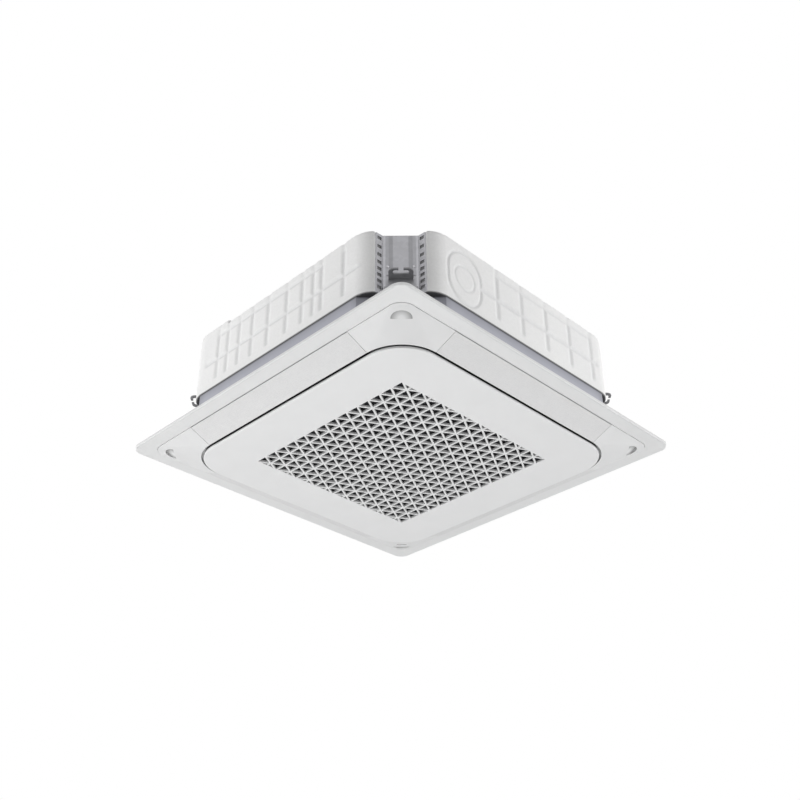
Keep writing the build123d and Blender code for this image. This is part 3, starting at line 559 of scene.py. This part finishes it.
def groove_at(side, y, z):
    """How deep a point of a side lies in its grooves, from 0 to 1."""
    deep = 0.0
    for place in GROOVES[side]:
        deep = max(deep, stroke(y - place * MM, z, GROOVE_LOW, GROOVE_HIGH))
        if z > GROOVE_HIGH:
            deep = max(deep, ABOVE_DEPTH * dip(abs(y - place * MM), GROOVE_HALF))
    low, high = (end * MM for end in LEVEL_SPAN[side])
    deep = max(deep, stroke(z - LEVEL, y, low, high, LEVEL_HALF))
    low, high = (end * MM for end in TOP_SPAN[side])
    deep = max(deep, TOP_DEPTH * stroke(z - GROOVE_HIGH, y, low, high, TOP_HALF))
    if side == "south":
        dx, dz = y - KNOCK_OUT[0], z - KNOCK_OUT[1]
        for wide, tall, half, share in KNOCK_RINGS:
            deep = max(deep, share * dip(oval_distance(dx, dz, wide, tall), half))
    return deep


def shadow_at(point):
    """How much painted shadow darkens the foam: underneath, and in the notches behind the corner
    plates.
    """
    low_down = smooth_step((UNDER_HIGH - point.z) / UNDER_SOFT)
    out = (abs(point.x) + abs(point.y)) * HALF_ROOT
    across = abs(abs(point.x) - abs(point.y)) * HALF_ROOT
    in_notch = NOTCH_BACK < out < NOTCH_MOUTH and across < NOTCH_HALF
    return max(low_down, NOTCH_DARK if in_notch else 0.0)


def foam_shell():
    """The casing with the round edges and soft grooves of pressed foam."""
    solid = nodes["casing"].data.copy()
    piece = new_piece("foam_shell", solid, "foam_white", "unit", ["casing"])
    remesh = piece.modifiers.new("remesh", "REMESH")
    remesh.mode = "VOXEL"
    remesh.voxel_size = VOXEL
    even = piece.modifiers.new("even", "SMOOTH")
    even.factor = 0.5
    even.iterations = 3
    mesh = settle(piece)
    groove = mesh.attributes.new("groove", "FLOAT", "POINT")
    # how much painted shadow darkens the foam at each point
    painted_shadow = mesh.attributes.new("painted_shadow", "FLOAT", "POINT")
    for vertex in mesh.vertices:
        point = vertex.co.copy()
        painted_shadow.data[vertex.index].value = shadow_at(point)
        for side, turn in SIDE_TURN.items():
            out, along = side_place(side, point)
            if out < BODY_HALF - SKIN:
                continue
            deep = groove_at(side, along, point.z)
            if abs(along) < FACE_HALF and FACE_LOW < point.z < FACE_HIGH:
                vertex.co[turn % 2] *= (BODY_HALF - GROOVE_DEPTH * deep) / out
            groove.data[vertex.index].value = deep
    for polygon in mesh.polygons:
        polygon.use_smooth = True
    mesh.materials.clear()
    mesh.materials.append(MATERIALS["foam_white"])


# ---------------------------------------------------------------- the grille's edge
EDGE_HALF, EDGE_CORNER, EDGE_WALL = 372.9 * MM, 96.9 * MM, 1.0 * MM
EDGE_LOW, EDGE_HIGH, EDGE_SOFT = -38 * MM, -33.5 * MM, 0.3 * MM
SLOPE_START, SLOPE_RUN, SLOPE_DROP = 340 * MM, 25 * MM, 2.5 * MM


def rounded_square(half, corner, steps=16):
    """Points round a square with round corners, in order."""
    points = []
    middle = half - corner
    for turn, (sx, sy) in enumerate(((1, 1), (-1, 1), (-1, -1), (1, -1))):
        for step in range(steps + 1):
            angle = math.radians(90 * turn + 90 * step / steps)
            x = sx * middle + corner * math.cos(angle)
            y = sy * middle + corner * math.sin(angle)
            points.append((x, y))
    return points


def grille_edge():
    """The low wall that stands up along the edge of the grille, inside the dark gap.

    It is lower on the north side, to clear the hinge's lugs when the grille hangs open."""
    rings = [(0, EDGE_LOW), (0, EDGE_HIGH - EDGE_SOFT), (EDGE_SOFT, EDGE_HIGH),
             (EDGE_WALL - EDGE_SOFT, EDGE_HIGH), (EDGE_WALL, EDGE_HIGH - EDGE_SOFT),
             (EDGE_WALL, EDGE_LOW)]
    vertices, faces = [], []
    for inset, z in rings:
        for x, y in rounded_square(EDGE_HALF - inset, EDGE_CORNER - inset):
            drop = SLOPE_DROP * smooth_step((y - SLOPE_START) / SLOPE_RUN)
            vertices.append((x, y, z - drop if z > EDGE_LOW else z))
    count = len(vertices) // len(rings)
    for ring in range(len(rings)):
        for i in range(count):
            a, b = ring * count + i, ring * count + (i + 1) % count
            c, d = (a + count) % len(vertices), (b + count) % len(vertices)
            faces.append((a, b, d, c))
    mesh = mesh_of("grille_edge", vertices, faces)
    for polygon in mesh.polygons:
        polygon.use_smooth = True
    new_piece("grille_edge", mesh, "grille", "grille")


# ---------------------------------------------------------------- seals and rivets of the corners
CORNER_TURNS = (45, 135, 225, 315)
SEAL_SPANS = ((484, 493.2), (-55, 55), (253, 261.2))    # out, across and up, in mm
SEAL_SOFT = 0.8 * MM
RIVET_OUT, RIVET_ACROSS, RIVET_UP = 497.2, 29, 170      # in mm
RIVET_PROFILE = [                                       # radius and rise, in mm
    (3.4, -0.4), (3.4, 0.5), (3.1, 0.9), (2.2, 1.5), (1.2, 1.8), (0.8, 1.6), (0.5, 1.2)]


def diagonal_turn(turn):
    """Turns a form that lies out along X onto a corner's diagonal."""
    return Matrix.Rotation(math.radians(turn), 4, "Z")


def soft_bar(form, spans, soft, turn):
    """Adds a bar with rounded edges, given by its spans out, across and up, in mm."""
    middle = Vector([sum(span) / 2 * MM for span in spans])
    size = [(span[1] - span[0]) * MM for span in spans]
    place = diagonal_turn(turn) @ Matrix.Translation(middle) @ Matrix.Diagonal((*size, 1))
    made = bmesh.ops.create_cube(form, size=1, matrix=place)
    edges = {edge for vertex in made["verts"] for edge in vertex.link_edges}
    bmesh.ops.bevel(form, geom=list(edges), offset=soft, segments=2, affect="EDGES", profile=0.7)


def top_seals():
    """Foam strips that close the gap between the top plate and each corner plate."""
    form = bmesh.new()
    for turn in CORNER_TURNS:
        soft_bar(form, SEAL_SPANS, SEAL_SOFT, turn)
    mesh = bpy.data.meshes.new("top_seals")
    form.to_mesh(mesh)
    form.free()
    new_piece("top_seals", mesh, "gasket", "unit")


def turned(vertices, faces, profile, place, steps=20):
    """Adds a turned form: the profile's (radius, rise) points swept round its own X axis."""
    start = len(vertices)
    for radius, rise in profile:
        for step in range(steps):
            angle = 2 * math.pi * step / steps
            point = Vector((rise, radius * math.cos(angle), radius * math.sin(angle))) * MM
            vertices.append(tuple(place @ point))
    for ring in range(len(profile) - 1):
        for step in range(steps):
            a = start + ring * steps + step
            b = start + ring * steps + (step + 1) % steps
            faces.append((a, b, b + steps, a + steps))
    last = start + (len(profile) - 1) * steps
    faces.append(tuple(last + step for step in range(steps)))


def plate_rivets():
    """Two dome rivets above each hanger bracket."""
    vertices, faces = [], []
    for turn in CORNER_TURNS:
        for across in (-RIVET_ACROSS, RIVET_ACROSS):
            centre = Vector((RIVET_OUT, across, RIVET_UP)) * MM
            place = diagonal_turn(turn) @ Matrix.Translation(centre)
            turned(vertices, faces, RIVET_PROFILE, place)
    mesh = mesh_of("plate_rivets", vertices, faces)
    for polygon in mesh.polygons:
        polygon.use_smooth = len(polygon.vertices) == 4
    new_piece("plate_rivets", mesh, "screw", "unit")


foam_shell()
grille_edge()
top_seals()
plate_rivets()


# ---------------------------------------------------------------- floor, light and camera
FLOOR_HALF, FLOOR_HEIGHT = 60.0, -2.4
FLOOR_GLOW, FLOOR_GLOW_SHARE = 0.93, 0.75
WORLD_LIGHT = 0.36
LIGHTS = {                          # place, target, size in metres, power in watts
    "left_light": ((-3.05, 2.0, 0.0), (0, 0, 0.1), 2.4, 76),
    "right_light": ((1.9, -3.05, 0.0), (0, 0, 0.1), 2.4, 76),
    "low_light": ((-0.9, 0.0, -2.2), (0, 0, 0), 2.0, 16),
    "top_light": ((0.6, 0.6, 2.6), (0, 0, 0.1), 2.4, 30),
}
CAMERA_PLACE = (-1.68637, -1.67281, -1.34174)
CAMERA_YAW, CAMERA_PITCH, CAMERA_ROLL = 44.551, 31.879, -0.601     # in degrees
CAMERA_LENS, CAMERA_SENSOR = 49.255, 36.0                          # in mm
CAMERA_SHIFT = -0.00575


def seen_ray(tree):
    """1 for a ray that carries a picture of the surface, and 0 for one that carries light."""
    path = tree.nodes.new("ShaderNodeLightPath")
    most = path.outputs["Is Camera Ray"]
    for name in ("Is Glossy Ray", "Is Transmission Ray"):
        either = tree.nodes.new("ShaderNodeMath")
        either.operation = "MAXIMUM"
        tree.links.new(most, either.inputs[0])
        tree.links.new(path.outputs[name], either.inputs[1])
        most = either.outputs["Value"]
    return most


def pale_floor():
    size = FLOOR_HALF
    corners = [(-size, -size, 0), (size, -size, 0), (size, size, 0), (-size, size, 0)]
    mesh = mesh_of("floor", corners, [(0, 1, 2, 3)])
    floor = bpy.data.objects.new("floor", mesh)
    floor.location.z = FLOOR_HEIGHT
    scene.collection.objects.link(floor)
    f = Finish("floor_finish", specular=0.2)
    f.base(f.colour(f.noise(3, 3), [(0.3, grey_of(0.85)), (0.7, grey_of(0.87))]))
    f.rough(8, 0.7, 0.8)
    pale = f.add("ShaderNodeEmission")
    pale.inputs["Strength"].default_value = FLOOR_GLOW
    mix = f.add("ShaderNodeMixShader")
    f.link(f.maths("MULTIPLY", seen_ray(f.tree), FLOOR_GLOW_SHARE), mix.inputs["Fac"])
    f.link(f.shader.outputs["BSDF"], mix.inputs[1])
    f.link(pale.outputs["Emission"], mix.inputs[2])
    f.link(mix.outputs["Shader"], f.tree.nodes["Material Output"].inputs["Surface"])
    mesh.materials.append(f.material)


def world_light(strength):
    """A dim white world for light, which looks plain white to the camera and in reflections."""
    world = bpy.data.worlds.new("studio")
    world.use_nodes = True
    scene.world = world
    tree = world.node_tree
    lamp, white = tree.nodes["Background"], tree.nodes.new("ShaderNodeBackground")
    for background, power in ((lamp, strength), (white, 1.0)):
        background.inputs["Color"].default_value = (1, 1, 1, 1)
        background.inputs["Strength"].default_value = power
    mix = tree.nodes.new("ShaderNodeMixShader")
    tree.links.new(seen_ray(tree), mix.inputs["Fac"])
    tree.links.new(lamp.outputs["Background"], mix.inputs[1])
    tree.links.new(white.outputs["Background"], mix.inputs[2])
    tree.links.new(mix.outputs["Shader"], tree.nodes["World Output"].inputs["Surface"])


def soft_box(name, place, target, size, power):
    data = bpy.data.lights.new(name, "AREA")
    data.shape = "SQUARE"
    data.size = size
    data.energy = power
    lamp = bpy.data.objects.new(name, data)
    lamp.location = place
    aim = Vector(target) - Vector(place)
    lamp.rotation_mode = "QUATERNION"
    lamp.rotation_quaternion = aim.to_track_quat("-Z", "Y")
    lamp.visible_camera = False
    scene.collection.objects.link(lamp)


def photo_camera():
    """The photograph's viewpoint, below the unit and in front of its south-west corner."""
    data = bpy.data.cameras.new("camera")
    data.sensor_width = CAMERA_SENSOR
    data.lens = CAMERA_LENS
    data.shift_x = CAMERA_SHIFT
    data.clip_end = 100
    camera = bpy.data.objects.new("camera", data)
    yaw, pitch, roll = (math.radians(v) for v in (CAMERA_YAW, CAMERA_PITCH, CAMERA_ROLL))
    level = math.cos(pitch)
    ahead = Vector((level * math.cos(yaw), level * math.sin(yaw), math.sin(pitch)))
    turn = ahead.to_track_quat("-Z", "Y").to_matrix() @ Matrix.Rotation(roll, 3, "Z")
    camera.matrix_world = Matrix.Translation(CAMERA_PLACE) @ turn.to_4x4()
    scene.collection.objects.link(camera)
    scene.camera = camera


pale_floor()
world_light(WORLD_LIGHT)
for name, (place, target, size, power) in LIGHTS.items():
    soft_box(name, place, target, size, power)
photo_camera()
scene.view_settings.view_transform = "Standard"
